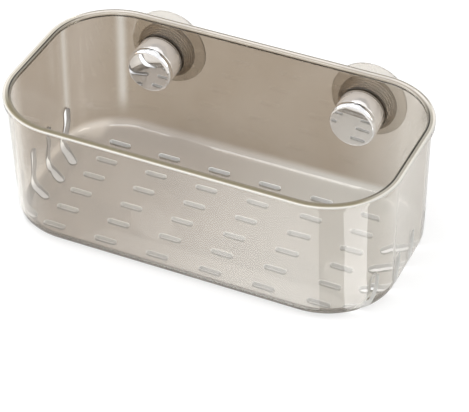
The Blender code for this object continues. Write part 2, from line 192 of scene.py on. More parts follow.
def turned(section, rounding=0.0, steps=96):
    # solid of revolution about Y. The section is a polygon of (radius, y); zero radius lies on the axis
    bm = bmesh.new()
    verts = [bm.verts.new((radius, y, 0)) for radius, y in section]
    bm.faces.new(verts)
    if rounding:
        corners = [v for v in bm.verts if v.co.x > 1e-6]
        bmesh.ops.bevel(bm, geom=corners, offset=rounding, offset_type="OFFSET", segments=3,
                        profile=0.5, affect="VERTICES", material=-1, clamp_overlap=True)
    onAxis = [e for e in bm.edges if all(v.co.x < 1e-6 for v in e.verts)]
    bmesh.ops.delete(bm, geom=list(bm.faces), context="FACES_ONLY")
    bmesh.ops.delete(bm, geom=onAxis, context="EDGES")
    bmesh.ops.spin(bm, geom=list(bm.verts) + list(bm.edges), cent=(0, 0, 0), axis=(0, 1, 0),
                   angle=2 * pi, steps=steps, use_merge=True)
    bmesh.ops.remove_doubles(bm, verts=bm.verts, dist=1e-6)
    bmesh.ops.recalc_face_normals(bm, faces=bm.faces)
    return bm


def moveTo(bm, place):
    bmesh.ops.translate(bm, verts=bm.verts, vec=place)


def joinInto(bm, other):
    # adds another bmesh to this one
    carrier = bpy.data.meshes.new("carrier")
    other.to_mesh(carrier)
    other.free()
    bm.from_mesh(carrier)
    bpy.data.meshes.remove(carrier)


# the tub's colours by place are painted light and shade over its smoky tint; haze is random tone
clearTub = dict(roughness=0.012, ior=1.49, milk=0.05, absorb=(0.55, 0.50, 0.30), density=30.0,
                frontLeft=(0.86, 0.82, 0.775), frontRight=(0.92, 0.90, 0.88),
                back=(0.372, 0.306, 0.238), backRight=(0.64, 0.60, 0.55), leftEnd=(0.43, 0.365, 0.30),
                floorLeft=(0.53, 0.475, 0.425), floorRight=(0.72, 0.695, 0.655), floorEnd=(0.72, 0.65, 0.58),
                streak=(0.62, 0.58, 0.53), haze=(0.95, 0.93, 0.90))

# where the tub's tint, its painted light and shade and its painted highlights change, from and to, along x, y or z
zones = dict(rightwards=(-0.060, 0.100), backRight=(0.045, 0.110), backwards=(-0.040, 0.045),
             leftEnd=(-0.092, -0.114), leftEndBehind=(-0.045, -0.020), leftEndUp=(0.008, 0.026),
             aboveFloor=(0.006, 0.030), onFloor=(0.0095, 0.0035), floorEnd=(-0.094, -0.101),
             shadedSlots=(-0.094, -0.104), rimBack=(0.020, 0.050), rimSides=(0.104, 0.116))

# two painted highlight streaks in the back left corner: one on the back wall, one on the end wall
paintedStreaks = dict(back=dict(middle=-0.0905, half=0.0045, beyond=(0.036, 0.046)),
                   end=dict(middle=0.0270, half=0.0040, beyond=(-0.104, -0.110)))

# face marks of the tub, read by its material
marks = dict(slotSide=1, rimTop=2, rimOuter=3, rimInner=4, outerLine=5, innerLine=6, baseLine=7)

# strips of the rim, whose colours are painted light and shade: a dark top band at the front, a painted highlight on
# the outer edge and dark fine lines. Their colours at the front, at the back and at both ends, how clear and how
# rough
rimStrips = dict(
    rimTop=((0.27, 0.232, 0.14), (0.84, 0.79, 0.73), (0.55, 0.51, 0.43), 0.40, 0.08),
    rimOuter=((0.93, 0.90, 0.84), (0.70, 0.68, 0.64), (0.76, 0.74, 0.69), 0.25, 0.12),
    rimInner=((0.42, 0.38, 0.30), (0.58, 0.53, 0.46), (0.30, 0.27, 0.22), 0.50, 0.08),
    outerLine=((0.40, 0.35, 0.25), (0.20, 0.175, 0.14), (0.72, 0.68, 0.61), 0.15, 0.10),
    innerLine=((0.22, 0.185, 0.13), (0.34, 0.30, 0.25), (0.030, 0.025, 0.018), 0.08, 0.12))
# the slot sides are pale and frosted; towards the left end they turn grey, which is painted shade
slotSides = dict(pale=((0.90, 0.89, 0.87), (0.98, 0.975, 0.965)), grey=((0.44, 0.405, 0.37), (0.52, 0.48, 0.44)),
                 clearness=0.12, roughness=0.25)
# painted shade: the dark line along the base, on the front faces only
paintedBaseShade = dict(dark=(0.24, 0.20, 0.155), light=(0.31, 0.265, 0.21), clearness=0.40, roughness=0.10)


def tintWithPaintedShade(tree, x, y, z):
    # the smoky tint with painted light and shade: darker towards the back wall and the left end, paler to the right,
    # other tones on the floor, and two painted highlight streaks
    t = clearTub
    towardsRight = spread(tree, x, *zones["rightwards"])
    front = mixColours(tree, towardsRight, t["frontLeft"], t["frontRight"])
    back = mixColours(tree, spread(tree, x, *zones["backRight"]), t["back"], t["backRight"])
    walls = mixColours(tree, spread(tree, y, *zones["backwards"]), front, back)
    atLeftEnd = times(tree, spread(tree, x, *zones["leftEnd"]), spread(tree, y, *zones["leftEndBehind"]),
                      spread(tree, z, *zones["leftEndUp"], 0.25, 1.0))
    walls = mixColours(tree, atLeftEnd, walls, t["leftEnd"])
    aboveFloor = spread(tree, z, *zones["aboveFloor"])
    for across, along, line in ((x, y, paintedStreaks["back"]), (y, x, paintedStreaks["end"])):
        away = mathOn(tree, "ABSOLUTE", mathOn(tree, "SUBTRACT", across, line["middle"]))
        inStreak = times(tree, spread(tree, away, line["half"], 0.0), spread(tree, along, *line["beyond"]),
                         aboveFloor)
        walls = mixColours(tree, inStreak, walls, t["streak"])
    floor = mixColours(tree, towardsRight, t["floorLeft"], t["floorRight"])
    floor = mixColours(tree, spread(tree, x, *zones["floorEnd"]), floor, t["floorEnd"])
    return mixColours(tree, spread(tree, z, *zones["onFloor"]), walls, floor)


def clearPlastic():
    # one material for the whole moulding: the marks tell the slots' sides and the rim's strips apart
    t, s, b = clearTub, slotSides, paintedBaseShade
    material, tree, shader = newMaterial("clear smoky plastic")
    setValues(shader, IOR=t["ior"])
    x, y, z = objectAxes(tree)
    cloud = noiseOn(tree, 18.0, 3.0)
    grain = noiseOn(tree, 420.0, 4.0)
    tint = mixColours(tree, rangeOf(tree, cloud, 0.0, 0.06), tintWithPaintedShade(tree, x, y, z), t["haze"])
    clearness = 1.0 - t["milk"]
    dull = rangeOf(tree, cloud, t["roughness"] * 0.6, t["roughness"] * 1.4)

    # what each mark has in place of the plain wall's colour, clearness and roughness
    # painted shade: the slot sides turn grey towards the left end
    sideColour = mixColours(tree, spread(tree, x, *zones["shadedSlots"]), mixColours(tree, grain, *s["pale"]),
                            mixColours(tree, grain, *s["grey"]))
    strips = dict(slotSide=(sideColour, s["clearness"], s["roughness"]),
                  baseLine=(mixColours(tree, cloud, b["dark"], b["light"]), b["clearness"], b["roughness"]))
    # the rim's painted light and shade change towards the back and at both ends
    towardsBack = spread(tree, y, *zones["rimBack"])
    atSides = spread(tree, mathOn(tree, "ABSOLUTE", x), *zones["rimSides"])
    for name, (front, back, sides, through, rough) in rimStrips.items():
        colour = mixColours(tree, atSides, mixColours(tree, towardsBack, front, back), sides)
        strips[name] = (colour, through, rough)
    mark = tree.nodes.new("ShaderNodeAttribute")
    mark.attribute_name = "mark"
    for name, (colour, through, rough) in strips.items():
        isHere = mathOn(tree, "COMPARE", mark.outputs["Fac"], marks[name], 0.4)
        tint = mixColours(tree, isHere, tint, colour)
        clearness = mixValues(tree, isHere, clearness, through)
        dull = mixValues(tree, isHere, dull, rough)
    tree.links.new(tint, shader.inputs["Base Color"])
    tree.links.new(clearness, shader.inputs["Transmission Weight"])
    tree.links.new(dull, shader.inputs["Roughness"])

    absorption = tree.nodes.new("ShaderNodeVolumeAbsorption")
    absorption.inputs["Color"].default_value = (*t["absorb"], 1)
    absorption.inputs["Density"].default_value = t["density"]
    tree.links.new(absorption.outputs["Volume"], tree.nodes["Material Output"].inputs["Volume"])
    return material


def softCup():
    material, tree, shader = newMaterial("soft clear vinyl")
    setValues(shader, Transmission_Weight=0.80, IOR=1.45)
    cloud = noiseOn(tree, 28.0, 2.0)
    tree.links.new(mixColours(tree, cloud, (0.91, 0.87, 0.81), (0.96, 0.93, 0.875)), shader.inputs["Base Color"])
    tree.links.new(rangeOf(tree, cloud, 0.26, 0.32), shader.inputs["Roughness"])
    return material


# line is the painted shade at the steps, lit the colour of the painted highlight on the upper right
housing = dict(firstLine=0.0150, linePitch=0.0008, lineEdge=(0.25, 0.60), linesFrom=(0.0146, 0.0150),
               lineStrength=0.75, line=(0.30, 0.22, 0.14), body=(0.95, 0.87, 0.77), lit=(1.0, 0.98, 0.94),
               litFrom=(0.004, 0.017), haze=(0.80, 0.70, 0.56))


def clearHousing():
    # painted shade and highlight: thin dark lines follow the steps, and the upper right of each ring is painted
    # paler
    h = housing
    material, tree, shader = newMaterial("brown clear housing")
    setValues(shader, Transmission_Weight=0.70, IOR=1.49)
    cloud = noiseOn(tree, 45.0, 3.0)
    x, _, z = objectAxes(tree)
    place = units["right"]
    across = mathOn(tree, "SUBTRACT", x, times(tree, mathOn(tree, "SIGN", x), place.x))
    up = mathOn(tree, "SUBTRACT", z, place.z)
    radius = distance(tree, across, up)
    inStep = mathOn(tree, "DIVIDE", mathOn(tree, "SUBTRACT", radius, h["firstLine"]), h["linePitch"])
    line = times(tree, spread(tree, mathOn(tree, "FRACT", inStep), *h["lineEdge"], 1.0, 0.0),
                 spread(tree, radius, *h["linesFrom"]), h["lineStrength"])
    lit = spread(tree, mathOn(tree, "MULTIPLY_ADD", across, 0.75, up), *h["litFrom"])
    lined = mixColours(tree, line, mixColours(tree, lit, h["body"], h["lit"]), h["line"])
    tree.links.new(mixColours(tree, rangeOf(tree, cloud, 0.0, 0.10), lined, h["haze"]), shader.inputs["Base Color"])
    tree.links.new(rangeOf(tree, cloud, 0.04, 0.10), shader.inputs["Roughness"])
    return material


def chromeFinish(name, colour, roughLow, roughHigh, metal=1.0, waves=0.0):
    material, tree, shader = newMaterial(name)
    setValues(shader, Metallic=metal)
    cloud = noiseOn(tree, 220.0, 4.0)
    darker = tuple(c * 0.96 for c in colour)
    tree.links.new(mixColours(tree, cloud, darker, colour), shader.inputs["Base Color"])
    tree.links.new(rangeOf(tree, cloud, roughLow, roughHigh), shader.inputs["Roughness"])
    if waves:
        # slight unevenness, which breaks the reflections into streaks along the knob
        bumpOn(tree, shader, noiseOn(tree, 130.0, 2.0, stretch=(1.0, 0.35, 1.0)), waves, 0.6)
    return material


def turnedMetal(name, dark, light, roughLow, roughHigh):
    # fine lathe marks round the knob's axis
    material, tree, shader = newMaterial(name)
    setValues(shader, Metallic=1.0)
    grooves = noiseOn(tree, 900.0, 3.0, stretch=(0.05, 1.0, 0.05))
    tree.links.new(mixColours(tree, grooves, dark, light), shader.inputs["Base Color"])
    tree.links.new(rangeOf(tree, grooves, roughLow, roughHigh), shader.inputs["Roughness"])
    bumpOn(tree, shader, grooves, 0.00003, 0.5)
    return material


def sealRubber(name, dark, light):
    material, tree, shader = newMaterial(name)
    cloud = noiseOn(tree, 260.0, 5.0)
    tree.links.new(mixColours(tree, cloud, dark, light), shader.inputs["Base Color"])
    tree.links.new(rangeOf(tree, cloud, 0.42, 0.62), shader.inputs["Roughness"])
    bumpOn(tree, shader, cloud, 0.00005, 0.5)
    return material


finishes = {
    "tub": clearPlastic(),
    "cup": softCup(),
    "housing": clearHousing(),
    "cap": chromeFinish("mirror chrome", (0.93, 0.93, 0.94), 0.015, 0.045),
    "barrel": chromeFinish("pearly barrel", (0.95, 0.92, 0.90), 0.04, 0.09, metal=0.68, waves=0.0009),
    "washer": sealRubber("dark washer rubber", (0.230, 0.195, 0.160), (0.310, 0.270, 0.225)),
    "gasket": sealRubber("brown gasket rubber", (0.300, 0.255, 0.200), (0.380, 0.330, 0.270)),
    "brass": turnedMetal("turned brass", (0.62, 0.47, 0.22), (0.80, 0.63, 0.34), 0.22, 0.40),
    "steel": turnedMetal("turned stainless", (0.55, 0.56, 0.57), (0.74, 0.75, 0.76), 0.20, 0.36),
}
print("materials ready:", len(finishes))


tub = dict(length=0.230, depth=0.121, height=tubHigh.z, wall=0.003, floor=0.003,
           frontCorner=0.0392, backCorner=0.0370, fillet=0.007, frontDraft=0.0064, endDraft=0.0006,
           lip=0.0018, lipHeight=0.0034, lipRound=0.0008, cornerSegments=26, edgeInset=0.0012, rimLine=0.0008,
           baseLine=0.0047)
tubMiddle = tubHigh.y - tub["lip"] - tub["wall"] - tub["depth"] / 2


def draftAt(name, z):
    return tub[name] * (tub["height"] - z) / tub["height"]


def ringPlace(corner, angle, offset, z):
    # corners run from the back right, anticlockwise seen from above
    halfLength = tub["length"] / 2 + offset - draftAt("endDraft", z)
    back = tub["depth"] / 2 + offset
    front = draftAt("frontDraft", z) - tub["depth"] / 2 - offset
    radius = (tub["backCorner"] if corner < 2 else tub["frontCorner"]) + offset
    x = (halfLength - radius) * (1 if corner in (0, 3) else -1)
    y = back - radius if corner < 2 else front + radius
    return Vector((x + radius * cos(angle), tubMiddle + y + radius * sin(angle), z))


def quarter(steps):
    return [pi / 2 * step / steps for step in range(steps + 1)]


def tubSections():
    wall, fillet, lipRound = tub["wall"], tub["fillet"], tub["lipRound"]
    reach = wall + tub["lip"]
    under = tub["height"] - tub["lipHeight"]
    inner = fillet - wall
    sections = [(wall - fillet - tub["edgeInset"], 0.0)]
    sections += [(wall - fillet * (1 - sin(a)), fillet * (1 - cos(a))) for a in quarter(9)]
    sections += [(wall, fillet + tub["edgeInset"]), (wall, under - tub["edgeInset"])]
    # soft step out to the lip
    sections += [(wall + (reach - wall) * (1 - cos(a)) / 2, under + lipRound * (a / pi - 0.5)) for a in
                 [pi * step / 6 for step in range(7)]]
    sections += [(reach, tub["height"] - lipRound - 0.0004)]
    sections += [(reach - lipRound * (1 - cos(a)), tub["height"] - lipRound * (1 - sin(a))) for a in quarter(6)]
    sections += [(reach - lipRound - tub["rimLine"], tub["height"]), (lipRound + tub["rimLine"], tub["height"])]
    sections += [(lipRound * (1 - cos(a)), tub["height"] - lipRound * (1 - sin(a))) for a in reversed(quarter(6))]
    sections += [(0.0, tub["height"] - lipRound - tub["edgeInset"]), (0.0, tub["floor"] + inner + tub["edgeInset"])]
    sections += [(-inner * (1 - sin(a)), tub["floor"] + inner * (1 - cos(a))) for a in reversed(quarter(8))]
    sections += [(-inner - tub["edgeInset"], tub["floor"])]
    return sections


# rounded mouth of a slot: how far out from the wall's face, and how much wider there
mouth = ((0.0020, 0.00062), (0.0002, 0.00062), (0.0, 0.00030), (-0.00012, 0.00011), (-0.00030, 0.0))

dashes = dict(length=0.0135, width=0.003, columns=6, rows=6, columnPitch=0.0332, rowPitch=0.0168,
              frontMargin=0.0098)

curls = dict(width=0.0050, first=-0.0353, pitch=0.022, top=0.0258, floorRun=0.0126,
             floorShares=(0.06, 0.80, 1.0, 0.90), frontSweep=0.0075, backSweep=0.0193, straight=0.50, bow=1.6,
             steps=44, endSteps=6, innerReach=0.0007)


def firstDash():
    # middle of the front left drain slot
    y = tubMiddle - tub["depth"] / 2 + draftAt("frontDraft", tub["floor"]) + dashes["frontMargin"]
    return -dashes["columnPitch"] * (dashes["columns"] - 1) / 2, y


def roundedOutline(bm):
    # one face with rounded corners, whose points know their corner and angle
    bmesh.ops.create_grid(bm, x_segments=1, y_segments=1, size=tub["length"])
    bmesh.ops.bevel(bm, geom=list(bm.verts), offset=tub["length"] / 2, offset_type="OFFSET", profile=0.5,
                    segments=tub["cornerSegments"], affect="VERTICES", material=-1, clamp_overlap=True)
    cornerLayer = bm.verts.layers.int.new("corner")
    angleLayer = bm.verts.layers.float.new("angle")
    centreOf = ((1, 1), (-1, 1), (-1, -1), (1, -1))
    half = tub["length"] / 2
    for v in bm.verts:
        corner = centreOf.index((int(copysign(1, v.co.x)), int(copysign(1, v.co.y))))
        out = Vector((v.co.x - half * centreOf[corner][0], v.co.y - half * centreOf[corner][1]))
        start = corner * pi / 2
        v[cornerLayer] = corner
        v[angleLayer] = start + min(max(Vector((cos(start), sin(start))).angle(out), 0), pi / 2)
    return cornerLayer, angleLayer


def tubShell():
    bm = bmesh.new()
    cornerLayer, angleLayer = roundedOutline(bm)
    sections = tubSections()
    top = tub["height"] - 0.00001
    loop = list(bm.edges)
    for v in bm.verts:
        v.co = ringPlace(v[cornerLayer], v[angleLayer], *sections[0])
    for (before, low), (offset, z) in zip(sections, sections[1:]):
        made = bmesh.ops.extrude_edge_only(bm, edges=loop)["geom"]
        strip = 0
        isOuter = before + offset > tub["wall"] + tub["lip"]
        # the baseLine mark carries a painted dark line, which stays on the front faces only
        if low < z < tub["baseLine"]:
            strip = marks["baseLine"]
        elif min(low, z) > top and abs(before - offset) > 1.5 * tub["rimLine"]:
            strip = marks["rimTop"]
        elif min(low, z) > top:
            strip = marks["outerLine"] if isOuter else marks["innerLine"]
        elif min(low, z) > top - tub["lipRound"]:
            strip = marks["rimOuter"] if isOuter else marks["rimInner"]
        for face in made:
            if isinstance(face, bmesh.types.BMFace):
                isFront = all(v[cornerLayer] in (2, 3) for v in face.verts)
                face.material_index = strip if isFront or strip != marks["baseLine"] else 0
        newVerts = [g for g in made if isinstance(g, bmesh.types.BMVert)]
        loop = [g for g in made if isinstance(g, bmesh.types.BMEdge) and all(v in newVerts for v in g.verts)]
        for v in newVerts:
            v.co = ringPlace(v[cornerLayer], v[angleLayer], offset, z)
    bmesh.ops.contextual_create(bm, geom=loop)
    # cuts beside the corners keep the flat walls flat, and each drain slot gets its own cell of floor
    sideCut = tub["length"] / 2 - tub["frontCorner"] - tub["edgeInset"]
    firstX, firstY = firstDash()
    cuts = [((x, 0, 0), (1, 0, 0)) for x in (-sideCut, sideCut)]
    cuts += [((firstX + dashes["columnPitch"] * (column - 0.5), 0, 0), (1, 0, 0))
             for column in range(dashes["columns"] + 1)]
    cuts += [((0, firstY + dashes["rowPitch"] * (row + 0.5), 0), (0, 1, 0)) for row in range(dashes["rows"])]
    cuts += [((0, 0, curls["top"] + tub["edgeInset"]), (0, 0, 1))]
    for place, way in cuts:
        cutAt(bm, place, way)
    bmesh.ops.recalc_face_normals(bm, faces=bm.faces)
    return bm


def carryOn(bm, face, isFirst):
    # extrudes the leading cap, and takes away the old one that would lie inside
    made = bmesh.ops.extrude_face_region(bm, geom=face, use_keep_orig=True)["geom"]
    if not isFirst:
        bmesh.ops.delete(bm, geom=face, context="FACES_ONLY")
    return [g for g in made if isinstance(g, bmesh.types.BMFace)]


def dashCutter():
    bm = bmesh.new()
    firstX, firstY = firstDash()
    bmesh.ops.create_grid(bm, x_segments=1, y_segments=1, size=0.5)
    bmesh.ops.scale(bm, verts=bm.verts, vec=(dashes["length"], dashes["width"], 1))
    bmesh.ops.bevel(bm, geom=list(bm.verts), offset=dashes["width"] / 2 * 0.999, offset_type="OFFSET", profile=0.5,
                    segments=6, affect="VERTICES", material=-1, clamp_overlap=True)
    levels = [(-out, wider) for out, wider in mouth]
    levels += [(tub["floor"] + out, wider) for out, wider in reversed(mouth)]
    outline = bm.verts.layers.float_vector.new("outline")
    straight = (dashes["length"] - dashes["width"]) / 2
    for v in bm.verts:
        v[outline] = v.co.copy()
    face = list(bm.faces)
    for number, (z, wider) in enumerate(levels):
        if number:
            face = carryOn(bm, face, number == 1)
        for v in face[0].verts:
            middle = Vector((min(max(v[outline].x, -straight), straight), 0, 0))
            out = (v[outline] - middle).normalized()
            v.co = v[outline] + out * wider + Vector((firstX, firstY, z))
    bmesh.ops.triangulate(bm, faces=[f for f in bm.faces if len(f.verts) == 4])
    first = everything(bm)
    for row in range(dashes["rows"]):
        for column in range(dashes["columns"]):
            if row or column:
                copied = bmesh.ops.duplicate(bm, geom=first)["geom"]
                bmesh.ops.translate(bm, verts=[g for g in copied if isinstance(g, bmesh.types.BMVert)],
                                    vec=(column * dashes["columnPitch"], row * dashes["rowPitch"], 0))
    bmesh.ops.recalc_face_normals(bm, faces=bm.faces)
    return bm


def endWallPlace(y, z, inset):
    # in the right-hand end at y and z, inset from its outer face: the point in plan and the way out
    halfLength = tub["length"] / 2 + tub["wall"] - draftAt("endDraft", z)
    backRadius = tub["backCorner"] + tub["wall"]
    frontRadius = tub["frontCorner"] + tub["wall"]
    straightBack = tub["depth"] / 2 + tub["wall"] - backRadius
    straightFront = draftAt("frontDraft", z) + frontRadius - tub["depth"] / 2 - tub["wall"]
    radius = backRadius if y > straightBack else frontRadius
    angle = asin((y - min(max(y, straightFront), straightBack)) / (radius - inset))
    return Vector((halfLength - radius + (radius - inset) * cos(angle), y, 0)), Vector((cos(angle), sin(angle), 0))


def curlStations(startY, sweep, floorRun):
    wallRun = curls["top"] - tub["fillet"]
    middleRadius = tub["fillet"] - tub["wall"] / 2
    bendRun = middleRadius * pi / 2
    total = wallRun + bendRun + floorRun
    straightRun = wallRun * curls["straight"]
    half = curls["width"] / 2
    ends = [half * (1 - cos(a)) for a in quarter(curls["endSteps"])]
    runs = ends + [half + (total - 2 * half) * step / curls["steps"] for step in range(1, curls["steps"])]
    runs += [total - run for run in reversed(ends)]
    stations = []
    for run in runs:
        fromEnd = min(run, total - run, half)
        width = max(curls["width"] * sqrt(max(1 - (1 - fromEnd / half) ** 2, 0)), curls["width"] * 0.03)
        y = startY - sweep * (max(run - straightRun, 0) / (total - straightRun)) ** curls["bow"]
        if run < wallRun:
            height = curls["top"] - run
            place, facing = endWallPlace(y, height, tub["wall"] / 2)
        elif run < wallRun + bendRun:
            angle = (run - wallRun) / middleRadius
            height = tub["fillet"] - middleRadius * sin(angle)
            place, out = endWallPlace(y, height, tub["fillet"] - middleRadius * cos(angle))
            facing = out * cos(angle) - Vector((0, 0, sin(angle)))
        else:
            height = tub["wall"] / 2
            bendEnd, out = endWallPlace(y, height, tub["fillet"])
            place, facing = bendEnd - Vector((run - wallRun - bendRun, 0, 0)), Vector((0, 0, -1))
        nearEnd = max(1 - fromEnd / half, 0)
        stations.append((place + Vector((0, 0, height)), facing, width, copysign(nearEnd, run - total / 2)))
    return stations


def curlProfile():
    # half of a slot's cross-section: distance from the wall's middle, and extra half width
    half = tub["wall"] / 2
    side = [(half + out, wider) for out, wider in mouth]
    back = [(-half - out, wider) for out, wider in reversed(mouth[2:])]
    return side + back + [(-half - mouth[1][0], mouth[1][1]), (-half - curls["innerReach"], mouth[0][1])]


def curlCutter():
    bm = bmesh.new()
    profile = curlProfile()
    last = len(curls["floorShares"]) - 1
    for index, floorShare in enumerate(curls["floorShares"]):
        sweep = curls["frontSweep"] + (curls["backSweep"] - curls["frontSweep"]) * index / last
        stations = curlStations(curls["first"] + curls["pitch"] * index, sweep, curls["floorRun"] * floorShare)
        one = bmesh.new()
        bmesh.ops.create_circle(one, cap_ends=True, radius=1, segments=2 * len(profile))
        place = one.verts.layers.int.new("place")
        face = list(one.faces)
        for number, v in enumerate(face[0].verts):
            v[place] = number
        for number, (centre, facing, width, end) in enumerate(stations):
            before = stations[max(number - 1, 0)][0]
            after = stations[min(number + 1, len(stations) - 1)][0]
            along = (after - before).normalized()
            across = along.cross(facing).normalized()
            if number:
                face = carryOn(one, face, number == 1)
            for v in face[0].verts:
                count = len(profile)
                left = v[place] < count
                reach, wider = profile[v[place] if left else 2 * count - 1 - v[place]]
                half = width / 2 + wider * abs(1 - abs(end))
                v.co = centre + facing * reach + across * half * (1 if left else -1) + along * wider * end
        joinInto(bm, one)
    mirrored = bmesh.ops.duplicate(bm, geom=everything(bm))["geom"]
    bmesh.ops.scale(bm, verts=[g for g in mirrored if isinstance(g, bmesh.types.BMVert)], vec=(-1, 1, 1))
    bmesh.ops.translate(bm, verts=bm.verts, vec=(0, tubMiddle, 0))
    # the sides twist, so they go in as triangles
    bmesh.ops.triangulate(bm, faces=bm.faces)
    bmesh.ops.recalc_face_normals(bm, faces=bm.faces)
    return bm


neck = dict(radius=0.0086, flat=0.0076)


def neckCutter():
    bm = bmesh.new()
    for place in units.values():
        one = bmesh.new()
        bmesh.ops.create_cone(one, segments=72, radius1=neck["radius"], radius2=neck["radius"], depth=0.012,
                              cap_ends=True)
        bmesh.ops.rotate(one, verts=one.verts, cent=(0, 0, 0), matrix=Matrix.Rotation(pi / 2, 3, "X"))
        for way in (1, -1):
            cutAt(one, (0, 0, way * neck["flat"]), (0, 0, way), keepsBoth=False)
        wallMiddle = tubMiddle + tub["depth"] / 2 + tub["wall"] / 2
        moveTo(one, (place.x, wallMiddle, place.z))
        bmesh.ops.recalc_face_normals(one, faces=one.faces)
        joinInto(bm, one)
    return bm


def cutWith(piece, name, bm):
    cutter = putInScene(name, bm, finishes["tub"])
    modifier = piece.modifiers.new(name, "BOOLEAN")
    modifier.operation = "DIFFERENCE"
    modifier.solver = "EXACT"
    modifier.material_mode = "INDEX"
    modifier.object = cutter
    mark = 0 if name == "neckHoles" else marks["slotSide"]
    for _ in marks:
        cutter.data.materials.append(finishes["tub"])
    cutter.data.polygons.foreach_set("material_index", [mark] * len(cutter.data.polygons))
    return cutter


def applyModifiers(piece):
    # the evaluated mesh takes the place of the first one
    bpy.context.view_layer.update()
    evaluated = piece.evaluated_get(bpy.context.evaluated_depsgraph_get())
    done = bpy.data.meshes.new_from_object(evaluated)
    piece.modifiers.clear()
    piece.data = done
    return piece


def markFaces(piece):
    # the places in the list of materials become face marks, and one material stays
    mesh = piece.data
    found = [float(polygon.material_index) for polygon in mesh.polygons]
    mark = mesh.attributes.new("mark", "FLOAT", "FACE")
    mark.data.foreach_set("value", found)
    mesh.polygons.foreach_set("material_index", [0] * len(found))
    while len(mesh.materials) > 1:
        mesh.materials.pop()
    return {name: found.count(float(number)) for name, number in marks.items()}


tubPiece = finishPiece("clear_tub", tubShell(), "tub", finishes["tub"], ("tub",))
for _ in marks:
    tubPiece.data.materials.append(finishes["tub"])
cutters = [cutWith(tubPiece, "curlHoles", curlCutter()), cutWith(tubPiece, "dashHoles", dashCutter()),
           cutWith(tubPiece, "neckHoles", neckCutter())]
applyModifiers(tubPiece)
for cutter in cutters:
    bpy.data.objects.remove(cutter)
print("marked faces:", markFaces(tubPiece))
tubPiece.data.shade_smooth()
tubPiece.data.set_sharp_from_angle(angle=radians(38))
evenShading = tubPiece.modifiers.new("evenShading", "WEIGHTED_NORMAL")
evenShading.mode = "FACE_AREA"
evenShading.weight = 80
evenShading.keep_sharp = True
print("tub shell:", len(tubPiece.data.polygons), "faces")


# in a suction unit, y counts from the inside of the back wall, towards the wall that the cups grip

knob = dict(radius=0.0142, back=-0.0014, front=-0.0124, spigotFront=-0.0154, spigotRadius=0.0126, chamber=0.0096,
            bore=0.0053, hub=0.0075, shellInside=0.0122, hubFront=-0.0088, pocketFront=-0.0070)


def barrelPiece():
    k = knob
    section = [(k["bore"], k["back"]), (k["hub"], k["back"]), (k["hub"], k["pocketFront"]),
               (k["shellInside"], k["pocketFront"]), (k["shellInside"], k["back"]), (k["radius"], k["back"]),
               (k["radius"], k["front"]), (k["spigotRadius"], k["front"]), (k["spigotRadius"], k["spigotFront"]),
               (k["chamber"], k["spigotFront"]), (k["chamber"], k["hubFront"]), (k["bore"], k["hubFront"])]
    return turned(section, 0.0003)


cap = dict(face=0.0124, radius=0.0144, front=-0.0169, inside=-0.0157, shoulder=0.0022, skirtBack=-0.0127,
           skirtInside=0.0129)


def capPiece():
    c = cap
    section = [(0, c["front"]), (c["face"], c["front"])]
    for angle in quarter(10)[1:]:
        section.append((c["face"] + (c["radius"] - c["face"]) * sin(angle),
                        c["front"] + c["shoulder"] * (1 - cos(angle))))
    section += [(c["radius"], c["skirtBack"] - 0.0001), (c["radius"] - 0.0002, c["skirtBack"]),
                (c["skirtInside"], c["skirtBack"]), (c["skirtInside"], c["inside"]), (0, c["inside"])]
    return turned(section, 0.0, 128)


bell = dict(front=0.0044, ring=0.0012, step=0.0008, steps=3, startRadius=0.0150, rimWidth=0.0009, rimLength=0.0020,
            web=0.0059, shell=0.0018, neckFront=0.0003, neckRadius=0.0083, neckFlat=0.0073, bore=0.00462)


def bellPiece():
    b = bell
    radius, y = b["startRadius"], b["front"]
    section = [(b["bore"], y), (radius, y)]
    for _ in range(b["steps"]):
        y += b["ring"]
        section.append((radius, y))
        radius += b["step"]
        section.append((radius, y))
    y += b["ring"]
    outer = radius + b["rimWidth"]
    section += [(radius, y), (outer, y), (outer, y + b["rimLength"]), (radius - b["shell"] / 2, y + b["rimLength"]),
                (b["startRadius"] - b["shell"], b["web"]), (b["bore"], b["web"])]
    return turned(section, 0.00022, 112)


def neckPiece():
    # keyed tube that carries the bell through the wall
    b = bell
    bm = turned([(b["bore"], b["neckFront"]), (b["neckRadius"], b["neckFront"]),
                 (b["neckRadius"], b["front"] + 0.0002), (b["bore"], b["front"] + 0.0002)], 0.0, 72)
    for way in (1, -1):
        cutAt(bm, (0, 0, way * b["neckFlat"]), (0, 0, way), keepsBoth=False)
    bmesh.ops.recalc_face_normals(bm, faces=bm.faces)
    return bm


cup = dict(radius=0.0243, land=0.0017, edge=0.0010, middle=0.0127, back=0.0141, shelf=0.0115, rim=0.0186,
           boss=0.0096, bossFront=0.0086, mouth=0.0051, bossLip=0.0009, pocket=0.0078, pocketBack=0.0114,
           bend=(0.0096, 0.0113), bevel=0.0003)


def cupPiece():
    c, b = cup, cup["bevel"]
    inner = c["radius"] - c["land"] - b
    hollow = c["back"] - c["middle"]
    section = [(0, c["middle"])]
    section += [(inner * step / 12, c["middle"] + hollow * (step / 12) ** 3.4) for step in range(2, 12)]
    section += [(inner, c["back"]), (c["radius"] - b, c["back"]), (c["radius"], c["back"] - b),
                (c["radius"] - b, c["back"] - c["edge"]), (c["rim"], c["shelf"]), (c["boss"] + b, c["shelf"]),
                (c["boss"], c["shelf"] - b), (c["boss"], c["bossFront"] + b),
                (c["boss"] - b, c["bossFront"]), (c["mouth"], c["bossFront"]),
                (c["mouth"], c["bossFront"] + c["bossLip"]), (c["pocket"], c["bossFront"] + c["bossLip"]),
                (c["pocket"], c["pocketBack"]), (0, c["pocketBack"])]
    return turned(section, 0.0, 128)


def ringPiece(bore, outside, front, back, rounding):
    return turned([(bore, front), (outside, front), (outside, back), (bore, back)], rounding, 96)


stud = dict(flangeRadius=0.0075, flangeFront=0.0098, flangeBack=0.0111, hexFlat=0.0039, hexFront=0.0010,
            front=-0.0091, core=0.00255, threadTop=0.0030, pitch=0.0016, hole=0.0018, holeDepth=0.0048)


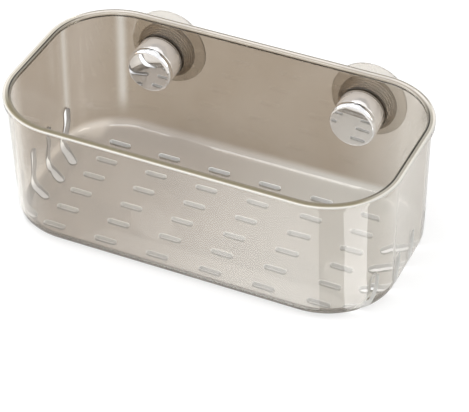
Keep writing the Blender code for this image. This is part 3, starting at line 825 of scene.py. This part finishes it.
def hexBar(flat, front, back):
    bm = bmesh.new()
    bmesh.ops.create_cone(bm, segments=6, radius1=flat / cos(pi / 6), radius2=flat / cos(pi / 6), depth=back - front,
                          cap_ends=True)
    bmesh.ops.rotate(bm, verts=bm.verts, cent=(0, 0, 0), matrix=Matrix.Rotation(pi / 2, 3, "X"))
    bmesh.ops.rotate(bm, verts=bm.verts, cent=(0, 0, 0), matrix=Matrix.Rotation(pi / 6, 3, "Y"))
    moveTo(bm, (0, (front + back) / 2, 0))
    bmesh.ops.bevel(bm, geom=list(bm.edges), offset=0.0002, offset_type="OFFSET", segments=2, profile=0.5,
                    affect="EDGES", material=-1, clamp_overlap=True)
    return bm


def threadRidge(core, top, front, back, pitch):
    # one tooth carried round the axis in a helix
    bm = bmesh.new()
    root = core - 0.0001
    tooth = [(root, -pitch * 0.30), (top, -pitch * 0.10), (top, pitch * 0.10), (root, pitch * 0.30)]
    verts = [bm.verts.new((radius, front + pitch * 0.3 + y, 0)) for radius, y in tooth]
    face = bm.faces.new(verts)
    turns = (back - front - pitch * 0.6) / pitch
    steps = int(turns * 36)
    bmesh.ops.spin(bm, geom=[face], cent=(0, 0, 0), axis=(0, 1, 0), dvec=(0, turns * pitch / steps, 0),
                   angle=-2 * pi * turns, steps=steps, use_duplicate=False)
    bmesh.ops.recalc_face_normals(bm, faces=bm.faces)
    return bm


def studPiece():
    s = stud
    bm = turned([(0, s["flangeFront"]), (s["flangeRadius"], s["flangeFront"]),
                 (s["flangeRadius"], s["flangeBack"]), (0, s["flangeBack"])], 0.0003, 72)
    joinInto(bm, hexBar(s["hexFlat"], s["hexFront"], s["flangeFront"] + 0.0001))
    holeEnd = s["front"] + s["holeDepth"]
    joinInto(bm, turned([(s["hole"], s["front"]), (s["core"] - 0.0003, s["front"]),
                         (s["core"], s["front"] + 0.0003), (s["core"], s["hexFront"] + 0.0002),
                         (0, s["hexFront"] + 0.0002), (0, holeEnd), (s["hole"], holeEnd)], 0.0, 48))
    joinInto(bm, threadRidge(s["core"], s["threadTop"], s["front"] + 0.0004, s["hexFront"], s["pitch"]))
    return bm


insert = dict(radius=0.0050, front=-0.0091, back=-0.0017, bore=0.0033, groove=0.0044, grooveWidth=0.0016)


def insertPiece():
    i = insert
    middle = (i["front"] + i["back"]) / 2
    half = i["grooveWidth"] / 2
    bm = turned([(i["bore"], i["front"]), (i["radius"], i["front"]), (i["radius"], middle - half),
                 (i["groove"], middle - half), (i["groove"], middle + half), (i["radius"], middle + half),
                 (i["radius"], i["back"]), (i["bore"], i["back"])], 0.00015, 72)
    return bm


screw = dict(radius=0.0015, core=0.00129, pitch=0.0007, tip=-0.0046, headBack=-0.0105, headFront=-0.0123,
             head=0.0032, drive=0.0013, driveDepth=0.0009)


def screwPiece():
    s = screw
    bm = turned([(0, s["headFront"] + s["driveDepth"]), (s["drive"], s["headFront"] + s["driveDepth"]),
                 (s["drive"] * 1.1, s["headFront"]), (s["head"] - 0.0004, s["headFront"]),
                 (s["head"], s["headFront"] + 0.0004), (s["head"], s["headBack"]), (s["core"], s["headBack"]),
                 (s["core"], s["tip"]), (0, s["tip"])], 0.0, 48)
    joinInto(bm, threadRidge(s["core"], s["radius"], s["headBack"], s["tip"], s["pitch"]))
    return bm


washers = dict(knobBore=0.0060, knobOutside=0.0144, knobFront=-0.0011, knobBack=-0.0003,
               gasketBore=0.0086, gasketOutside=0.0146, gasketFront=0.0033, gasketBack=0.0041,
               stopBore=0.0018, stopOutside=0.0046, stopFront=-0.0102, stopBack=-0.0094)


def makeUnit(side, place):
    knobBody, studBody = side + "_knob", side + "_stud"
    w = washers
    bellAndNeck = bellPiece()
    joinInto(bellAndNeck, neckPiece())
    pieces = (
        ("suction_cup", cupPiece(), None, "soft_cup", "cup"),
        ("pressure_bell", bellAndNeck, "tub", "clear_housing", "housing"),
        ("wall_gasket", ringPiece(w["gasketBore"], w["gasketOutside"], w["gasketFront"], w["gasketBack"], 0.0002),
         "tub", "seal", "gasket"),
        ("knob_washer", ringPiece(w["knobBore"], w["knobOutside"], w["knobFront"], w["knobBack"], 0.0002),
         "tub", "seal", "washer"),
        ("knob_barrel", barrelPiece(), knobBody, "clear_knob", "barrel"),
        ("thread_insert", insertPiece(), knobBody, "brass", "brass"),
        ("chrome_cap", capPiece(), knobBody, "chrome", "cap"),
        ("draw_stud", studPiece(), studBody, "steel", "steel"),
        ("stop_washer", ringPiece(w["stopBore"], w["stopOutside"], w["stopFront"], w["stopBack"], 0.00015),
         studBody, "steel", "steel"),
        ("stop_screw", screwPiece(), studBody, "steel", "steel"),
    )
    for name, bm, body, slotName, finish in pieces:
        moveTo(bm, (place.x, tubMiddle + tub["depth"] / 2, place.z))
        piece = finishPiece(side + "_dressed_" + name, bm, body, finishes[finish], (side + "_" + name,))
        if name == "suction_cup":
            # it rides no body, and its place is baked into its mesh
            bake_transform(piece)


for side, place in units.items():
    makeUnit(side, place)
print("suction units dressed:", len(units))


# the floor glows less under the tub's left end: a painted shadow
stage = dict(floorSize=6.0, floorHeight=-0.0004, floorColour=(0.36, 0.36, 0.358), floorGlow=0.70, shadowGlow=0.40,
             endRadius=(0.0415, 0.0385), endBack=(0.040, 0.030), world=0.65, worldSeen=1.0)


def seenDirectly(tree):
    # 1 for what the camera sees, also in a reflection or through clear plastic
    light = tree.nodes.new("ShaderNodeLightPath")
    either = mathOn(tree, "MAXIMUM", light.outputs["Is Camera Ray"], light.outputs["Is Glossy Ray"])
    return mathOn(tree, "MAXIMUM", either, light.outputs["Is Transmission Ray"])


def paintedShadowUnderLeftEnd(tree):
    # painted shadow on the floor: 1 under the tub's left end and within its rounded corner, fading to 0
    x, y, _ = objectAxes(tree)
    cornerX = tub["frontCorner"] - tub["length"] / 2
    cornerY = tubMiddle - tub["depth"] / 2 + tub["frontDraft"] + tub["frontCorner"]
    away = distance(tree, mathOn(tree, "SUBTRACT", x, cornerX),
                    mathOn(tree, "MINIMUM", mathOn(tree, "SUBTRACT", y, cornerY), 0.0))
    return times(tree, spread(tree, x, *zones["floorEnd"]), spread(tree, away, *stage["endRadius"]),
                 spread(tree, y, *stage["endBack"]))


def makeStage():
    bm = bmesh.new()
    bmesh.ops.create_grid(bm, x_segments=1, y_segments=1, size=stage["floorSize"] / 2)
    moveTo(bm, (0, 0, stage["floorHeight"]))
    material, tree, shader = newMaterial("pale floor")
    setValues(shader, Roughness=0.9, Specular_IOR_Level=0.0, Base_Color=(*stage["floorColour"], 1),
              Emission_Color=(1, 1, 1, 1))
    # painted shadow: the floor is darker under the left end, where it shows through the slots
    glow = mixValues(tree, paintedShadowUnderLeftEnd(tree), stage["floorGlow"], stage["shadowGlow"])
    tree.links.new(times(tree, seenDirectly(tree), glow), shader.inputs["Emission Strength"])
    floor = putInScene("pale_floor", bm, material)


def makeWorld():
    world = bpy.data.worlds.new("studio")
    world.use_nodes = True
    sceneData.world = world
    tree = world.node_tree
    background = tree.nodes["Background"]
    background.inputs["Color"].default_value = (1, 1, 1, 1)
    strength = mixValues(tree, seenDirectly(tree), stage["world"], stage["worldSeen"])
    tree.links.new(strength, background.inputs["Strength"])


# cards on the floor, seen only as reflections: corners in plan, and the glow from one x to another
cardHeight = 0.0002
cards = (
    dict(name="frontCard", corners=((-0.200, -0.172), (0.1082, -0.172), (0.0893, -0.0640), (-0.200, -0.0640)),
         fromX=-0.090, toX=0.033, glow=(1.3, 3.5)),
    dict(name="leftCard", corners=((-0.300, -0.0640), (-0.0950, -0.0640), (-0.1230, -0.0300), (-0.300, -0.0300)),
         fromX=-0.3, toX=-0.1, glow=(1.5, 1.5)),
    dict(name="gapCard", corners=((0.1090, -0.172), (0.1845, -0.1275), (0.1031, -0.0555), (0.0901, -0.0625)),
         fromX=0.09, toX=0.12, glow=(1.5, 1.5)),
    dict(name="cornerCard", corners=((0.1034, -0.0551), (0.1850, -0.1270), (0.2150, -0.0520), (0.1122, -0.0434)),
         fromX=0.09, toX=0.12, glow=(5.0, 5.0)),
)


def makeCards():
    for card in cards:
        bm = bmesh.new()
        bmesh.ops.create_grid(bm, x_segments=1, y_segments=1, size=1)
        order = sorted(bm.verts, key=lambda v: (v.co.y > 0, v.co.x if v.co.y < 0 else -v.co.x))
        for v, (x, y) in zip(order, card["corners"]):
            v.co = (x, y, cardHeight)
        material, tree, shader = newMaterial(card["name"])
        setValues(shader, Base_Color=(0, 0, 0, 1), Emission_Color=(1, 1, 1, 1))
        glow = spread(tree, objectAxes(tree)[0], card["fromX"], card["toX"], *card["glow"])
        tree.links.new(glow, shader.inputs["Emission Strength"])
        thing = putInScene(card["name"], bm, material)
        thing.visible_camera = thing.visible_diffuse = thing.visible_transmission = thing.visible_shadow = False
        thing.visible_volume_scatter = False


streak = dict(place=(0.0, 0.450, 0.440), width=1.2, height=0.030, dark=(0.02, 0.018, 0.016),
              light=(0.04, 0.036, 0.032))


def makeStreak():
    # dark strip behind, seen only as the dark streak along the knobs
    bm = bmesh.new()
    bmesh.ops.create_grid(bm, x_segments=1, y_segments=1, size=0.5)
    bmesh.ops.scale(bm, verts=bm.verts, vec=(streak["width"], streak["height"], 1))
    bmesh.ops.rotate(bm, verts=bm.verts, cent=(0, 0, 0), matrix=Matrix.Rotation(pi / 2, 3, "X"))
    moveTo(bm, streak["place"])
    material, tree, shader = newMaterial("darkStrip")
    setValues(shader, Specular_IOR_Level=0.0)
    cloud = noiseOn(tree, 6.0, 2.0)
    tree.links.new(mixColours(tree, cloud, streak["dark"], streak["light"]), shader.inputs["Base Color"])
    strip = putInScene("darkStrip", bm, material)
    strip.visible_camera = strip.visible_diffuse = strip.visible_shadow = False


contact = dict(outside=0.0022, width=0.0064, height=-0.0002, dark=(0.30, 0.245, 0.185), light=(0.38, 0.32, 0.25))


def makeContact():
    # painted contact shadow: a dark ring under the tub's base edge, seen only in reflections, which draws the dark
    # line there
    bm = bmesh.new()
    cornerLayer, angleLayer = roundedOutline(bm)
    for v in bm.verts:
        v.co = ringPlace(v[cornerLayer], v[angleLayer], contact["outside"], 0.0)
        v.co.z = contact["height"]
    inside = list(bm.faces)
    bmesh.ops.inset_region(bm, faces=inside, thickness=contact["width"])
    bmesh.ops.delete(bm, geom=inside, context="FACES_ONLY")
    material, tree, shader = newMaterial("paintedContactShadow")
    setValues(shader, Roughness=0.9, Specular_IOR_Level=0.0)
    cloud = noiseOn(tree, 30.0, 3.0)
    tree.links.new(mixColours(tree, cloud, contact["dark"], contact["light"]), shader.inputs["Base Color"])
    ring = putInScene("paintedContactShadow", bm, material)
    ring.visible_camera = ring.visible_diffuse = ring.visible_transmission = ring.visible_shadow = False


lamps = (
    dict(name="topSoftbox", place=(-0.25, -0.15, 1.25), aim=(0, 0, 0.04), size=(0.9, 0.7), power=8.0),
    dict(name="leftSoftbox", place=(-1.15, -0.55, 0.65), aim=(0, 0, 0.05), size=(0.5, 0.9), power=6.2),
    dict(name="rightSoftbox", place=(1.10, 0.10, 0.70), aim=(0, 0, 0.05), size=(0.4, 0.9), power=4.4),
)


def makeLamps():
    for lamp in lamps:
        data = bpy.data.lights.new(lamp["name"], "AREA")
        data.shape = "RECTANGLE"
        data.size, data.size_y = lamp["size"]
        data.energy = lamp["power"]
        thing = bpy.data.objects.new(lamp["name"], data)
        thing.location = lamp["place"]
        way = Vector(lamp["aim"]) - Vector(lamp["place"])
        thing.rotation_euler = way.to_track_quat("-Z", "Y").to_euler()
        sceneData.collection.objects.link(thing)


view = dict(azimuth=24.63, elevation=37.81, distance=1.3012, lens=173.25, shiftX=0.03759, shiftY=-0.07068,
            target=(0.0, tubMiddle, 0.035))


def makeCamera():
    data = bpy.data.cameras.new("studioCamera")
    data.sensor_width = 36
    data.sensor_fit = "HORIZONTAL"
    data.lens = view["lens"]
    data.shift_x, data.shift_y = view["shiftX"], view["shiftY"]
    data.clip_start, data.clip_end = 0.01, 50
    camera = bpy.data.objects.new("studioCamera", data)
    azimuth, elevation = radians(view["azimuth"]), radians(view["elevation"])
    back = Vector((sin(azimuth) * cos(elevation), -cos(azimuth) * cos(elevation), sin(elevation)))
    camera.location = Vector(view["target"]) + back * view["distance"]
    camera.rotation_euler = (-back).to_track_quat("-Z", "Y").to_euler()
    sceneData.collection.objects.link(camera)
    sceneData.camera = camera


makeStage()
makeWorld()
makeCards()
makeContact()
makeStreak()
makeLamps()
makeCamera()
sceneData.view_settings.view_transform = "Standard"
print("stage, lamps and camera placed")
